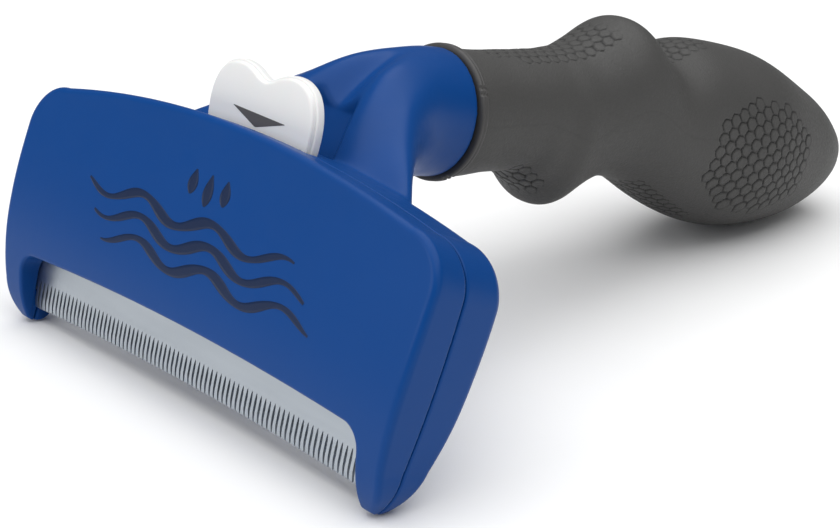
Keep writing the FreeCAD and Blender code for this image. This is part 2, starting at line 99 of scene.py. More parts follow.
# ------------------------------------------------------------ 2-D helpers
def arc3(a, b, c, n=24):
    """Points of the circle arc a-b-c in the plane."""
    ax, ay = a; bx, by = b; cx, cy = c
    d = 2 * (ax * (by - cy) + bx * (cy - ay) + cx * (ay - by))
    ux = ((ax * ax + ay * ay) * (by - cy) + (bx * bx + by * by) * (cy - ay)
          + (cx * cx + cy * cy) * (ay - by)) / d
    uy = ((ax * ax + ay * ay) * (cx - bx) + (bx * bx + by * by) * (ax - cx)
          + (cx * cx + cy * cy) * (bx - ax)) / d
    r = math.hypot(ax - ux, ay - uy)
    t0, t1, t2 = (math.atan2(p[1] - uy, p[0] - ux) for p in (a, b, c))
    def unwrap(t, ref):
        while t - ref > math.pi: t -= 2 * math.pi
        while t - ref < -math.pi: t += 2 * math.pi
        return t
    t1 = unwrap(t1, t0)
    t2 = unwrap(t2, t1)
    t = np.linspace(t0, t2, n + 1)
    return [(ux + r * math.cos(q), uy + r * math.sin(q)) for q in t]


def cspline(xs, ys, xq):
    """Natural cubic spline through xs, ys."""
    xs = np.asarray(xs, float); ys = np.asarray(ys, float)
    n = len(xs)
    h = np.diff(xs)
    A = np.eye(n); b = np.zeros(n)
    for i in range(1, n - 1):
        A[i, i - 1] = h[i - 1]; A[i, i] = 2 * (h[i - 1] + h[i]); A[i, i + 1] = h[i]
        b[i] = 6 * ((ys[i + 1] - ys[i]) / h[i] - (ys[i] - ys[i - 1]) / h[i - 1])
    M = np.linalg.solve(A, b)
    xq = np.asarray(xq, float)
    k = np.clip(np.searchsorted(xs, xq) - 1, 0, n - 2)
    t = xq - xs[k]; u = xs[k + 1] - xq
    return (M[k] * u ** 3 + M[k + 1] * t ** 3) / (6 * h[k]) \
        + (ys[k] / h[k] - M[k] * h[k] / 6) * u + (ys[k + 1] / h[k] - M[k + 1] * h[k] / 6) * t


def curve2(pts, n=90):
    p = np.array(pts, float)
    s = np.concatenate([[0], np.cumsum(np.hypot(*np.diff(p, axis=0).T))])
    q = np.linspace(0, s[-1], n)
    return list(zip(cspline(s, p[:, 0], q), cspline(s, p[:, 1], q)))


def poly_sd(poly, U, V):
    """Signed distance to a closed polygon, negative inside."""
    P = np.array(poly, float)
    Q = np.roll(P, -1, 0)
    best = np.full(U.shape, 1e9, np.float32)
    inside = np.zeros(U.shape, bool)
    for (ax, ay), (bx, by) in zip(P, Q):
        ex, ey = bx - ax, by - ay
        L = ex * ex + ey * ey
        if L < 1e-12:
            continue
        t = np.clip(((U - ax) * ex + (V - ay) * ey) / L, 0, 1)
        dx = U - ax - t * ex; dy = V - ay - t * ey
        np.minimum(best, dx * dx + dy * dy, out=best)
        if abs(ey) > 1e-12:
            hit = ((ay > V) != (by > V)) & (U < ax + (V - ay) * ex / ey)
            inside ^= hit
    best = np.sqrt(best)
    return np.where(inside, -best, best).astype(np.float32)


def rmax(a, b, r):
    """Intersection with a rounded edge."""
    u = np.maximum(a + r, 0); v = np.maximum(b + r, 0)
    return np.minimum(np.maximum(a, b), -r) + np.sqrt(u * u + v * v)


def smin(a, b, k):
    h = np.clip(0.5 + 0.5 * (b - a) / k, 0, 1)
    return b + (a - b) * h - k * h * (1 - h)


# ------------------------------------------------- outline of the head
TOP_Z0, TOP_ARCH, TOP_SLOPE, WALL = -4.7, 0.00205, 0.195, 2.2
FRONT = [(-49.40, 2.0), (-49.85, -4.0), (-50.70, -12.0), (-51.90, -20.0),
         (-53.00, -27.3), (-53.70, -34.0), (-53.90, -40.4), (-53.50, -46.0),
         (-52.60, -51.0), (-51.00, -55.3), (-48.80, -58.6)]
REAR = [(-34.40, 2.0), (-34.40, -8.0), (-34.70, -20.0), (-35.50, -28.0),
        (-36.70, -36.0), (-38.10, -42.5), (-40.10, -48.5), (-42.90, -54.5),
        (-45.90, -58.6)]
SEAM = [(-44.3, 20.0), (-44.3, 2.0), (-44.0, -17.0), (-48.0, -58.6), (-50.0, -80.0)]
FRONT_C = curve2(FRONT)
REAR_C = curve2(REAR)


def upper_poly():
    w, xa, dz = 59.4, 50.0, -TOP_SLOPE * (-58 + 49.6)
    za = TOP_Z0 - TOP_ARCH * xa * xa + dz
    zc = TOP_Z0 + dz
    zs = min(-19.0 + dz * 0.5, za - 6.0)
    m = (w - 0.29 * (w - xa), za - 0.29 * (za - zs))
    p = arc3((-xa, za), (0, zc), (xa, za), 60)
    p += arc3((xa, za), m, (w, zs), 20)[1:]
    p += [(w, -95), (-w, -95)]
    p += [(-x, z) for x, z in reversed(arc3((xa, za), m, (w, zs), 20))][:-1]
    return p


def lower_poly():
    w = 59.4
    r = arc3((w, -17.0), (w - 0.55, -33.0), (57.0, -50.2), 30)
    r += arc3((57.0, -50.2), (56.0, -54.9), (53.6, -58.2), 14)[1:]
    return [(-w, 30), (w, 30)] + r + [(-x, z) for x, z in reversed(r)]


def arch_poly(z0, k, half, bottom, r):
    xc = half - r
    zc = z0 - k * xc * xc
    top = [(x, z0 - k * x * x) for x in np.linspace(-xc, xc, 61)]
    right = [(xc + r * math.cos(a), zc - r + r * math.sin(a))
             for a in np.linspace(math.pi / 2, 0, 12)[1:]]
    left = [(-x, z) for x, z in reversed(right)]
    return left + top + right + [(half, bottom), (-half, bottom)]


class Grid:
    def __init__(self, lo, hi, h):
        self.h = h
        self.lo = np.array(lo, float)
        n = [int(math.ceil((b - a) / h)) + 1 for a, b in zip(lo, hi)]
        self.n = n
        self.x = (lo[0] + h * np.arange(n[0])).astype(np.float32)
        self.y = (lo[1] + h * np.arange(n[1])).astype(np.float32)
        self.z = (lo[2] + h * np.arange(n[2])).astype(np.float32)
        self.X = self.x[:, None, None]
        self.Y = self.y[None, :, None]
        self.Z = self.z[None, None, :]

    def xz(self, poly):
        return poly_sd(poly, self.x[:, None] + 0 * self.z, self.z[None, :] + 0 * self.x[:, None])[:, None, :]

    def yz(self, poly):
        return poly_sd(poly, self.y[:, None] + 0 * self.z, self.z[None, :] + 0 * self.y[:, None])[None]

    def xy(self, poly):
        return poly_sd(poly, self.x[:, None] + 0 * self.y, self.y[None, :] + 0 * self.x[:, None])[:, :, None]

    def box(self, x0, x1, y0, y1, z0, z1):
        a = np.maximum(x0 - self.X, self.X - x1)
        b = np.maximum(y0 - self.Y, self.Y - y1)
        c = np.maximum(z0 - self.Z, self.Z - z1)
        return np.maximum(np.maximum(a, b), c)

    def cyl_y(self, x, z, r, y0=-999.0, y1=999.0):
        d = np.sqrt((self.X - x) ** 2 + (self.Z - z) ** 2) - r
        return np.maximum(d, np.maximum(y0 - self.Y, self.Y - y1))

    def cyl_z(self, x, y, r, z0, z1):
        d = np.sqrt((self.X - x) ** 2 + (self.Y - y) ** 2) - r
        return np.maximum(d, np.maximum(z0 - self.Z, self.Z - z1))

    def outline(self):
        """Front view of the head, the top land falling towards the back."""
        h = self.h
        z0 = self.z[0] - 1.0
        nz = self.n[2] + int(14 / h) + 4
        zz = z0 + h * np.arange(nz)
        up = poly_sd(upper_poly(), self.x[:, None] + 0 * zz, zz[None] + 0 * self.x[:, None])
        low = self.xz(lower_poly())[:, 0, :]
        D = np.empty(self.n, np.float32)
        for j, y in enumerate(self.y):
            q = (self.z[0] + TOP_SLOPE * (y + 58) - z0) / h
            i = int(math.floor(q)); f = q - i
            u = up[:, i:i + self.n[2]] * (1 - f) + up[:, i + 1:i + 1 + self.n[2]] * f
            D[:, j, :] = np.maximum(u, low)
        return D

    def head(self):
        zlow = np.clip((-self.Z - 34.0) / 22.0, 0, 1)
        D = self.outline() + 0.03
        far = [(FRONT_C[0][0] + 0.2, 20.0)] + FRONT_C + [(-36.0, -80.0), (60.0, -80.0), (60.0, 20.0)]
        dF = self.yz(far) + 0.03
        near = [(-34.4, 20.0)] + REAR_C + [(-60.0, -80.0), (-99.0, -80.0), (-99.0, 20.0)]
        dR = self.yz(near) + 0.03
        W = rmax(D, dF, (1.45 - 0.5 * zlow).astype(np.float32))
        W = rmax(W, dR, (1.9 - 0.9 * zlow).astype(np.float32))
        behind = SEAM + [(99.0, -80.0), (99.0, 20.0)]
        return D, dF, dR, W, -self.yz(behind)


def sample(D, q):
    """Trilinear value at index positions q."""
    n = D.shape
    i = np.floor(q).astype(int)
    for a in range(3):
        i[:, a] = np.clip(i[:, a], 0, n[a] - 2)
    f = (q - i).astype(np.float32)
    x, y, z = i.T
    fx, fy, fz = f.T
    c00 = D[x, y, z] * (1 - fx) + D[x + 1, y, z] * fx
    c01 = D[x, y, z + 1] * (1 - fx) + D[x + 1, y, z + 1] * fx
    c10 = D[x, y + 1, z] * (1 - fx) + D[x + 1, y + 1, z] * fx
    c11 = D[x, y + 1, z + 1] * (1 - fx) + D[x + 1, y + 1, z + 1] * fx
    return (c00 * (1 - fy) + c10 * fy) * (1 - fz) + (c01 * (1 - fy) + c11 * fy) * fz


def surface(name, G, D):
    """Mesh the zero level of D, with shading normals taken from the field."""
    band = 4 * G.h
    D = np.clip(D, -band, band).astype(np.float32)
    D[0], D[-1], D[:, 0], D[:, -1], D[:, :, 0], D[:, :, -1] = (band,) * 6
    g = vdb.FloatGrid(band)
    g.copyFromArray(D, tolerance=1e-6)
    pts, quads = g.convertToQuads(0.0)
    q = np.array(pts, float)

    def grad(q):
        e = 0.8
        n = np.stack([sample(D, q + np.eye(3)[a] * e) - sample(D, q - np.eye(3)[a] * e)
                      for a in range(3)], 1)
        return n / np.maximum(np.linalg.norm(n, axis=1, keepdims=True), 1e-9)
    for _ in range(2):
        n = grad(q)
        d = sample(D, q) / G.h
        q = q - n * np.clip(d, -0.5, 0.5)[:, None] * 0.9
    n = grad(q)
    P = q * G.h + G.lo
    F = np.array(quads, int)
    a, b, c = P[F[:, 0]], P[F[:, 1]], P[F[:, 2]]
    fn = np.cross(b - a, c - a)
    if np.einsum("ij,ij->i", fn, n[F[:, 0]]).sum() < 0:
        F = F[:, ::-1]
    return make(name, P, F, normals=n)


SHELL_SCREWS = [(-40.0, -15.5), (40.0, -15.5), (-50.5, -21.5), (50.5, -21.5)]

# ------------------------------------------------------------ front shell
G = Grid((-60.2, -54.6, -59.6), (60.2, -43.0, -2.6), 0.26)
D, dF, dR, W, sm = G.head()
shell = rmax(W, sm + 0.12, 0.3)       # the part in front of the parting line
cav = np.maximum(np.maximum(D + WALL, dF + WALL), -(G.Z + 47.0))
cav = np.maximum(cav, -np.maximum(G.Y + 48.7, G.Z + 25.5))
cav = np.maximum(cav, -np.maximum(53.6 - np.abs(G.X), G.Z + 26.0))
shell = np.maximum(shell, -cav)
shell = np.maximum(shell, -G.box(-53.7, 53.7, -48.7, -30, -51.7, -25.5))
shell = np.maximum(shell, -G.box(-50.8, 50.8, -48.7, -30, -90, -25.5))
shell = rmax(shell, -G.xz(arch_poly(-42.06, 0.00073, 50.8, -95, 4.2)), 0.55)
for x, z in SHELL_SCREWS:
    shell = np.minimum(shell, np.maximum(G.cyl_y(x, z, 3.2, -50.0, -44.9), -G.cyl_y(x, z, 1.25, -49, 0)))
shell = rmax(shell, -G.box(-15.65, 15.65, -43.6, -30, -16, 12), 0.3)
shell = np.maximum(shell, -G.box(-13.2, 13.2, -45.7, -30, -16, -8))
front = surface("front_shell_skin", G, shell)
del D, W, shell, cav

# ------------------------------------------------------------- rear shell
NECK = [(0.0, 12.66, 12.66, 0.0, 0.0, 0.0, -12.66), (-4.0, 12.70, 12.60, 0.8, 0.0, 0.0, -12.8),
        (-9.0, 13.2, 12.0, 1.6, 0.3, -0.8, -13.6), (-14.0, 14.8, 10.6, 2.6, 1.3, -2.2, -15.6),
        (-20.0, 18.6, 7.4, 4.9, 3.0, -4.6, -19.4), (-26.0, 24.4, 2.4, 8.0, 4.6, -7.4, -24.4),
        (-31.0, 30.0, -3.2, 11.4, 5.4, -9.6, -28.6), (-35.6, 34.6, -8.6, 15.2, 5.6, -12.2, -31.6),
        (-39.6, 34.8, -10.4, 15.4, 5.0, -13.6, -31.8)]


def neck_points(st):
    y, w, zr, xr, sc, zw, zb = st
    m = max(0.0, min(1.0, (-y - 4.0) / 30.0))
    r = [(0.0, zr - sc),
         (max(xr, 0.28 * w * (1 - m)),
          zr - (0.0 if xr > 3 else (zr - zw) * (1 - math.cos(0.28))))]
    for a in (55, 35, 17):
        c, s = math.cos(math.radians(a)), math.sin(math.radians(a))
        n = 2.0 + 0.35 * m
        r.append((w * abs(c) ** (2 / n), zw + (zr - zw) * abs(s) ** (2 / n)))
    r.append((w, zw))
    for a in (20, 42, 62, 78):
        c, s = math.cos(math.radians(a)), math.sin(math.radians(a))
        n = 2.0 - 0.35 * m
        r.append((w * c ** (2 / n), zw - (zw - zb) * s ** (2 / n)))
    r.append((0.0, zb))
    return np.array(r + [(-x, z) for x, z in reversed(r[1:-1])])


def closed_spline(p, n):
    """Smooth closed curve through p."""
    q = np.vstack([p, p, p, p[:1]])
    s = np.concatenate([[0], np.cumsum(np.hypot(*np.diff(q, axis=0).T))])
    k = len(p)
    t = np.linspace(s[k], s[2 * k], n, endpoint=False)
    return np.stack([cspline(s, q[:, 0], t), cspline(s, q[:, 1], t)], 1)


def neck_mesh():
    NA = 240
    ys = np.array([s[0] for s in NECK])
    rings = [closed_spline(neck_points(s), NA) for s in NECK]
    R = np.array(rings)
    order = np.argsort(ys)
    yq = np.linspace(-39.6, 0.0, 110)
    P = np.zeros((len(yq), NA, 3))
    for j in range(NA):
        P[:, j, 0] = cspline(ys[order], R[order, j, 0], yq)
        P[:, j, 2] = cspline(ys[order], R[order, j, 1], yq)
        P[:, j, 1] = yq
    V = [P.reshape(-1, 3), [[0, -39.6, P[0, :, 2].mean()], [0, 0.0, P[-1, :, 2].mean()]]]
    V = np.vstack(V)
    F = []
    m = len(yq)
    idx = np.arange(m * NA).reshape(m, NA)
    a = idx[:-1]; b = idx[1:]
    a2 = np.roll(a, -1, 1); b2 = np.roll(b, -1, 1)
    F = np.concatenate([np.stack([a, a2, b2], -1).reshape(-1, 3), np.stack([a, b2, b], -1).reshape(-1, 3)])
    c0 = np.stack([idx[0], np.full(NA, m * NA), np.roll(idx[0], -1)], 1)
    c1 = np.stack([np.roll(idx[-1], -1), np.full(NA, m * NA + 1), idx[-1]], 1)
    return V, np.vstack([F, c0, c1])


G = Grid((-60.2, -49.4, -59.6), (60.2, 1.4, 14.4), 0.31)
D, dF, dR, W, sm = G.head()
rear = rmax(W, -sm + 0.12, 0.3)
cav = np.maximum(np.maximum(D + WALL, dR + WALL), -(G.Z + 45.2))
rear = np.maximum(rear, -cav)
del cav, D
for k in (1, -1):
    rear = np.minimum(rear, G.box(min(k * 9.5, k * 8.0), max(k * 9.5, k * 8.0), -42.9, -37.4, -34.0, -25.7))
    rear = np.minimum(rear, G.box(k * 28.0 - 5, k * 28.0 + 5, -45.3, -37.6, -34.6, -32.6))
    rear = np.maximum(rear, -G.cyl_z(k * 28.0, -43.0, 1.05, -35, -32))
for x, z in SHELL_SCREWS:
    rear = np.minimum(rear, np.maximum(np.maximum(G.cyl_y(x, z, 3.2, -44.2, -36.6), dR + 0.5), -sm + 0.15))
V, F = neck_mesh()
a, b, c = V[F[:, 0]], V[F[:, 1]], V[F[:, 2]]
if np.einsum("ij,ij->i", a, np.cross(b, c)).sum() < 0:
    F = F[:, ::-1]
hw = int(3.4 / G.h)
ls = vdb.FloatGrid.createLevelSetFromPolygons(
    ((V - G.lo) / G.h).astype(np.float32), triangles=F.astype(np.uint32),
    transform=vdb.createLinearTransform(1.0), halfWidth=float(hw))
N = np.full(G.n, hw, np.float32)
ls.copyToArray(N)
N *= G.h
N = np.maximum(N, -(dR + WALL)) + 0.02
rear = smin(rear, N, 1.6)
rear = np.maximum(rear, G.Y - 0.0 + 0.02)
del N, W
rear = rmax(rear, -G.xz(arch_poly(-47.4, 0.0003, 50.8, -95, 3.0)), 0.45)
rear = np.maximum(rear, -G.box(-53.7, 53.7, -70, -46.2, -51.7, -25.5))
rear = np.maximum(rear, -G.box(-50.8, 50.8, -70, -46.2, -90, -25.5))
pz = G.yz([(-36.2, 16), (-24.5, 16), (-24.5, -1.0), (-30.5, -12.5), (-36.2, -16.5)])
tr = G.xy([(-5.0, -23.5), (5.0, -23.5), (12.8, -36.2), (-12.8, -36.2)])
rear = rmax(rear, -rmax(pz + 0 * G.X, tr + 0 * G.Z, 1.6), 0.7)
del pz, tr
rear = np.maximum(rear, -G.cyl_y(0, 0, 8.53, -13.0, 9))
rear = np.maximum(rear, -G.cyl_z(0, -7.0, 2.1, -20, 0))
rear = rmax(rear, -G.cyl_z(0, -7.0, 3.5, -20, -10.6), 0.3)
rear = rmax(rear, -G.box(-15.65, 15.65, -43.6, -40.2, -16, 12), 0.35)
rear = np.maximum(rear, -G.box(-13.2, 13.2, -45.7, -43.2, -16, 4))
for x, z in SHELL_SCREWS:
    rear = np.maximum(rear, -G.cyl_y(x, z, 1.6, -60, -30))
    rear = rmax(rear, -G.cyl_y(x, z, 2.9, -39.6, -30), 0.3)
back = surface("rear_shell_skin", G, rear)
del rear

# ------------------------------------------------------------------ blade
BF, BT, BH = -48.7, 1.2, 53.6
PITCH, SLOTS = 1.29, 78


def tip(x): return -53.9 - 0.00053 * x * x
def root(x): return -48.6 - 0.00030 * x * x


def blade():
    """Ground comb of 79 teeth with lens-shaped slots and thin ends."""
    rows = [0.0, 0.04, 0.12, 0.22, 0.34, 0.46, 0.58, 0.70, 0.80, 0.88, 0.95, 1.0]
    half = [0.17, 0.185, 0.21, 0.245, 0.28, 0.30, 0.305, 0.29, 0.25, 0.19, 0.11, 0.0]
    V, F = [], []

    def yf(t):                                # front face leans back at the ends
        return BF + 0.34 * max(0.0, (0.34 - t) / 0.34) ** 1.5 + (0.12 if t == 0 else 0)

    def yb(t):
        return BF + BT - 0.62 * max(0.0, (0.55 - t) / 0.55) - (0.10 if t == 0 else 0)

    def column(x, xn, zf):
        out = []
        for t in rows:
            z = tip(xn) + (root(xn) - tip(xn)) * t
            V.append((x(t), yf(t), z)); V.append((x(t) + zf(t), yb(t), z))
            out.append(len(V) - 2)
        return out

    edges = [-50.75] + [(i - SLOTS / 2.0) * PITCH for i in range(1, SLOTS)] + [50.75]
    prev_top = None
    for i in range(SLOTS):
        xc = (i - (SLOTS - 1) / 2.0) * PITCH
        xl, xr = edges[i], edges[i + 1]
        hw = dict(zip(rows, half))
        cols = [column(lambda t: xl, xc, lambda t: 0.0),
                column(lambda t: xc - hw[t], xc, lambda t: 0.03 * (hw[t] > 0)),
                column(lambda t: xc + hw[t], xc, lambda t: -0.03 * (hw[t] > 0)),
                column(lambda t: xr, xc, lambda t: 0.0)]
        for a, b in ((cols[0], cols[1]), (cols[2], cols[3])):
            for k in range(len(rows) - 1):
                F.append((a[k], b[k], b[k + 1], a[k + 1]))
                F.append((b[k] + 1, a[k] + 1, a[k + 1] + 1, b[k + 1] + 1))
            F.append((b[0], a[0], a[0] + 1, b[0] + 1))
        for k in range(len(rows) - 1):
            F.append((cols[1][k], cols[1][k] + 1, cols[1][k + 1] + 1, cols[1][k + 1]))
            F.append((cols[2][k] + 1, cols[2][k], cols[2][k + 1], cols[2][k + 1] + 1))
        if i == 0:
            for k in range(len(rows) - 1):
                F.append((cols[0][k] + 1, cols[0][k], cols[0][k + 1], cols[0][k + 1] + 1))
        if i == SLOTS - 1:
            for k in range(len(rows) - 1):
                F.append((cols[3][k], cols[3][k] + 1, cols[3][k + 1] + 1, cols[3][k + 1]))
        # body of the blade above this cell
        zt = -26.5
        b0 = len(V)
        for x in (xl, xc, xr):
            for z in (root(xc), -44.0, zt):
                V.append((x, BF, z)); V.append((x, BF + BT, z))
        top = [cols[0][-1], cols[1][-1], cols[3][-1]]
        for c in range(2):
            for r in range(2):
                p = b0 + c * 6 + r * 2; q = p + 6
                F.append((p, q, q + 2, p + 2))
                F.append((q + 1, p + 1, p + 3, q + 3))
            p = b0 + c * 6 + 4; q = p + 6
            F.append((p, q, q + 1, p + 1))
    for k in (1, -1):                          # plain ends under the ears
        x0, x1 = sorted((k * 50.75, k * BH))
        b0 = len(V)
        for x in (x0, x1):
            for z in (-51.5, -26.5):
                V.append((x, BF, z)); V.append((x, BF + BT, z))
        p, q = b0, b0 + 4
        F += [(p, q, q + 2, p + 2), (q + 1, p + 1, p + 3, q + 3), (p + 2, q + 2, q + 3, p + 3),
              (q, p, p + 1, q + 1), (q, q + 1, q + 3, q + 2), (p + 1, p, p + 2, p + 3)]
    return make("toothed_blade", V, F, smooth=False)


teeth = blade()

# ----------------------------------------------------------------- button
BZ = -43.2


def heart_outline(n=170):
    right = [(0.0, 3.4), (1.3, 3.75), (2.9, 4.5), (5.4, 5.35), (8.0, 5.55), (10.6, 5.0),
             (12.9, 3.5), (14.4, 1.0), (15.13, -2.4), (15.0, -6.0)]
    c = curve2(right, 60)
    r = c + [(15.0 - 2.0 * t, -6.0 - 13.0 * t) for t in np.linspace(0.06, 1, 14)]
    r += [(13.0 * (1 - t), -19.0 - 0.5 * min(1, 4 * t)) for t in np.linspace(0.04, 1, 10)]
    left = [(-x, z) for x, z in reversed(r[1:-1])]
    p = np.array(r + left)
    s = np.concatenate([[0], np.cumsum(np.hypot(*np.diff(np.vstack([p, p[:1]]), axis=0).T))])
    q = np.linspace(0, s[-1], 300, endpoint=False)
    pp = np.vstack([p, p[:1]])
    return np.stack([np.interp(q, s, pp[:, 0]), np.interp(q, s, pp[:, 1])], 1)


def inset(p, d):
    t = np.roll(p, -1, 0) - np.roll(p, 1, 0)
    t /= np.linalg.norm(t, axis=1, keepdims=True)
    n = np.stack([-t[:, 1], t[:, 0]], 1)
    area = 0.5 * np.sum(p[:, 0] * np.roll(p[:, 1], -1) - np.roll(p[:, 0], -1) * p[:, 1])
    if area < 0:
        n = -n
    return p + n * d


def button():
    p = heart_outline()
    n = len(p)
    prof = [(0.00, 1.75), (0.00, 1.10), (0.02, 0.95), (0.07, 0.80), (0.16, 0.68), (0.28, 0.60),
            (0.42, 0.56), (0.80, 0.55), (0.88, 0.52), (0.90, 0.44), (0.92, 0.30), (0.95, 0.17),
            (1.02, 0.08), (1.14, 0.03), (1.30, 0.01), (2.20, 0.01), (2.36, 0.04), (2.48, 0.12),
            (2.56, 0.26), (2.59, 0.45), (2.60, 0.8)]
    V = []
    for y, d in prof:
        q = inset(p, d)
        q = q + (p.mean(0) - q) * 0.0
        V += [(x, BZ + y, z) for x, z in q]
    F = []
    for r in range(len(prof) - 1):
        for j in range(n):
            a, b = r * n + j, r * n + (j + 1) % n
            F.append((a, b, b + n, a + n))
    F.append(tuple(range(n))[::-1])
    F.append(tuple(range((len(prof) - 1) * n, len(prof) * n)))
    return make("heart_button", V, F)


heart = button()

# direction arrow printed on the button, a flat triangle with soft corners
tri = np.array([(-7.6, -2.8), (7.8, -3.2), (-0.3, -5.5)])
pts = []
for i in range(3):
    a, b, c = tri[i - 1], tri[i], tri[(i + 1) % 3]
    u = (a - b) / np.linalg.norm(a - b); v = (c - b) / np.linalg.norm(c - b)
    for t in np.linspace(0, 1, 8):
        w = 0.55
        pts.append((1 - t) ** 2 * (b + u * w) + 2 * t * (1 - t) * (b + 0.0 * u) + t * t * (b + v * w))
pts = np.array(pts)
m = len(pts)
V = [(x, BZ - 0.045, z) for x, z in inset(pts, 0.03)] + [(x, BZ - 0.03, z) for x, z in pts] \
    + [(x, BZ + 0.05, z) for x, z in pts]
F = [tuple(range(m))]
for r in (0, 1):
    for j in range(m):
        a, b = r * m + j, r * m + (j + 1) % m
        F.append((a, a + m, b + m, b))
arrow = make("button_arrow", V, F, smooth=False)

# ------------------------------------- printed hair strokes on the front
fz = np.array([z for _, z in FRONT_C])[::-1]
fy = np.array([y for y, _ in FRONT_C])[::-1]


def face_y(z): return np.interp(z, fz, fy)


def strokes():
    V, F = [], []

    def ribbon(xs, zs, ws):
        P = np.stack([xs, zs], 1)
        t = np.gradient(P, axis=0)
        t /= np.linalg.norm(t, axis=1, keepdims=True)
        nrm = np.stack([-t[:, 1], t[:, 0]], 1)
        cols = [(-1.0, 0.05), (-0.98, -0.05), (-0.5, -0.06), (0, -0.06), (0.5, -0.06), (0.98, -0.05), (1.0, 0.05)]
        b = len(V)
        for i in range(len(xs)):
            for c, dy in cols:
                x, z = P[i] + nrm[i] * c * ws[i]
                V.append((x, face_y(z) + 0.03 + dy, z))
        k = len(cols)
        for i in range(len(xs) - 1):
            for j in range(k - 1):
                a = b + i * k + j
                F.append((a, a + k, a + k + 1, a + 1))

    # a combed coat: three long flowing strands and three short drops above them
    t = np.linspace(0, 1, 220)
    for k, (x0, x1, zc, ph) in enumerate(((-34.0, 27.0, -24.2, 0.4), (-30.0, 32.0, -28.2, 0.1), (-26.0, 35.0, -32.2, -0.2))):
        xs = x0 + (x1 - x0) * t
        zs = zc + 1.5 * np.sin(2 * np.pi * (xs / 21.0) + ph)
        ws = 1.15 * np.sin(np.pi * (0.012 + 0.976 * t)) ** 0.45 * (0.82 + 0.18 * np.cos(2 * np.pi * xs / 10.5))
        ribbon(xs, zs, ws)
    t = np.linspace(0, 1, 60)
    for k, (cx, h) in enumerate(((-4.4, 4.6), (0.2, 5.8), (4.8, 4.6))):
        xs = cx + 0.25 * (k - 1) * t
        zs = -14.6 - h * t
        ws = 1.35 * np.sin(np.pi * np.clip(0.02 + 0.96 * t ** 1.3, 0, 1)) ** 0.75 + 0.03
        ribbon(xs, zs, ws)
    return make("front_print", V, F)


print_ = strokes()

# ------------------------------------------------------------------- grip
GRIP = [(2.6, 12.7, -12.7, 12.7), (6.1, 12.8, -12.4, 12.7),
        (12.4, 13.1, -11.4, 12.4), (18.7, 13.7, -10.8, 12.6),
        (22.3, 14.0, -10.9, 12.8), (25.6, 14.4, -12.8, 13.1),
        (29.2, 14.8, -14.8, 13.4), (32.8, 15.5, -17.5, 14.1),
        (36.7, 16.5, -16.3, 13.8), (40.4, 18.3, -14.0, 13.7),
        (44.9, 20.9, -11.8, 14.0), (49.7, 23.6, -10.8, 14.5),
        (55.3, 22.2, -11.0, 15.2), (62.4, 17.1, -12.7, 16.0),
        (70.2, 19.7, -15.8, 17.2), (79.1, 21.2, -18.7, 18.4),
        (87.4, 21.0, -20.5, 19.7), (95.8, 20.2, -20.8, 19.9),
        (104.0, 18.2, -20.0, 18.9), (112.5, 15.4, -18.2, 17.4),
        (119.7, 12.7, -15.2, 15.8), (126.0, 9.2, -11.4, 13.3),
        (129.8, 5.4, -7.1, 9.3), (131.4, 2.3, -3.9, 5.2)]


def hexcells(u, v, a):
    """Nearest centre of a honeycomb of pitch a, local place and edge distance."""
    s = np.array([1.0, math.sqrt(3.0)]) * a
    best = None
    for off in ((0.0, 0.0), (0.5, 0.5)):
        cu = (np.round(u / s[0] - off[0]) + off[0]) * s[0]
        cv = (np.round(v / s[1] - off[1]) + off[1]) * s[1]
        d = (u - cu) ** 2 + (v - cv) ** 2
        if best is None:
            best = [cu, cv, d]
        else:
            k = d < best[2]
            best = [np.where(k, cu, best[0]), np.where(k, cv, best[1]), np.where(k, d, best[2])]
    cu, cv = best[0], best[1]
    lu, lv = u - cu, v - cv
    e = np.maximum(np.abs(lu), np.maximum(np.abs(lu * 0.5 + lv * 0.866), np.abs(lu * 0.5 - lv * 0.866)))
    r = np.hypot(lu, lv)
    return cu, cv, lu, lv, (0.45 * e + 0.55 * r) / (0.5 * a)


def sstep(a, b, x):
    t = np.clip((x - a) / (b - a), 0, 1)
    return t * t * (3 - 2 * t)


